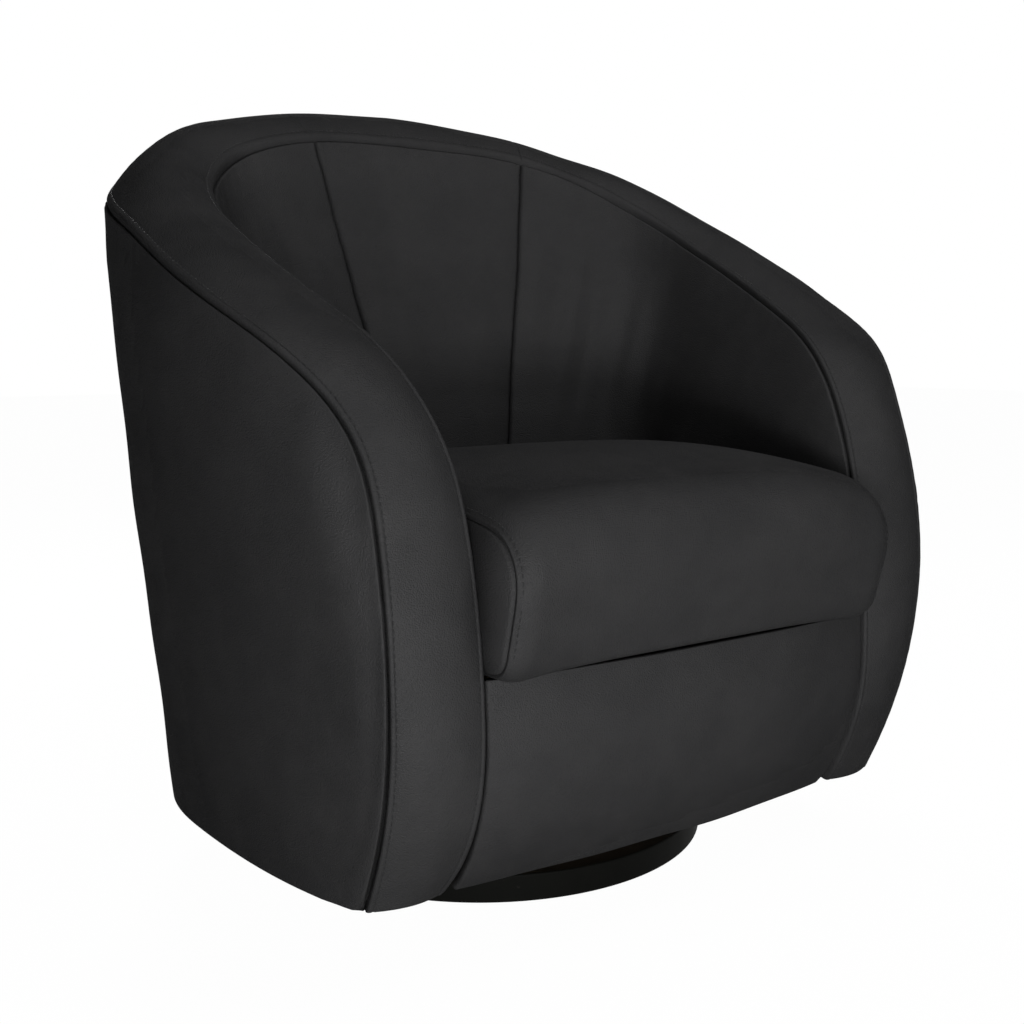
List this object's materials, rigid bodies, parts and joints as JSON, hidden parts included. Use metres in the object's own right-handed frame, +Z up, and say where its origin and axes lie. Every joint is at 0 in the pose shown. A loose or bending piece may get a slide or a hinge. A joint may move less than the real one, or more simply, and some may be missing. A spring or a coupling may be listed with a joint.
{
  "type": "swivel tub chair",
  "caption": "Padded leather tub chair with a domed rim band, loose-crowned seat cushion and fixed back, turning on a low round plinth with a ball-bearing turntable.",
  "frame": {"origin": "on the floor at the swivel axis, the centre of the plinth's underside", "axes": "+Z up, the sitter faces -Y, +X to the right as seen from the front"},
  "size_m": [0.8046, 0.6437, 0.7941],
  "materials": {
    "leather": "fine pebbled black leather, low sheen",
    "plinth": "black paint, slightly worn",
    "plywood": "raw birch plywood",
    "timber": "raw sawn hardwood",
    "hardboard": "smooth brown hardboard",
    "zinc": "zinc-plated sheet steel",
    "steel": "bright steel",
    "cage": "natural nylon",
    "felt": "grey-black pressed felt",
    "cloth": "black spun-bonded cloth",
    "foam": "cut polyurethane foam"
  },
  "bodies": {
    "base": {"floor_pad": "felt", "plinth_disc": "plinth", "lower_plate": "zinc", "lower_plate_screws": "zinc", "pivot_bolt": "steel", "pivot_washer": "zinc", "pivot_lock_nut": "zinc"},
    "bearing": {"ball_cage": "cage", "bearing_balls": "steel"},
    "chair": {"upper_plate": "zinc", "upper_plate_screws": "zinc", "mount_board": "plywood", "base_board": "plywood", "dust_cover": "cloth", "seat_front_rail": "timber", "seat_rear_rail": "timber", "front_board": "plywood", "seat_side_rail_left": "timber", "seat_side_rail_right": "timber", "rear_post_left": "timber", "rear_post_right": "timber", "back_post_left": "timber", "back_post_right": "timber", "back_top_rail": "plywood", "lumbar_rail": "plywood", "arm_panel_left": "plywood", "arm_panel_right": "plywood", "glue_blocks": "timber", "seat_springs": "steel", "spring_clips": "cage", "seat_deck": "felt", "outer_cover_left": "leather", "outer_cover_back": "leather", "outer_cover_right": "leather", "inner_panel_left": "leather", "inner_panel_back": "leather", "inner_panel_right": "leather", "tub_liner": "hardboard", "rim_band_left": "leather", "rim_band_back": "leather", "rim_band_right": "leather", "apron_panel": "leather", "seat_cushion": "leather", "seat_foam": "foam", "cushion_underside": "cloth"}
  },
  "joints": [
    {"name": "swivel", "type": "hinge", "parent": "base", "child": "chair", "pos_m": [0, 0, 0.04], "axis": [0, 0, 1], "continuous": true},
    {"name": "cage_roll", "type": "hinge", "parent": "base", "child": "bearing", "pos_m": [0, 0, 0.037], "axis": [0, 0, 1], "continuous": true}
  ],
  "couplings": [
    {"joint": "cage_roll", "follows": "swivel", "ratio": 0.5}
  ]
}
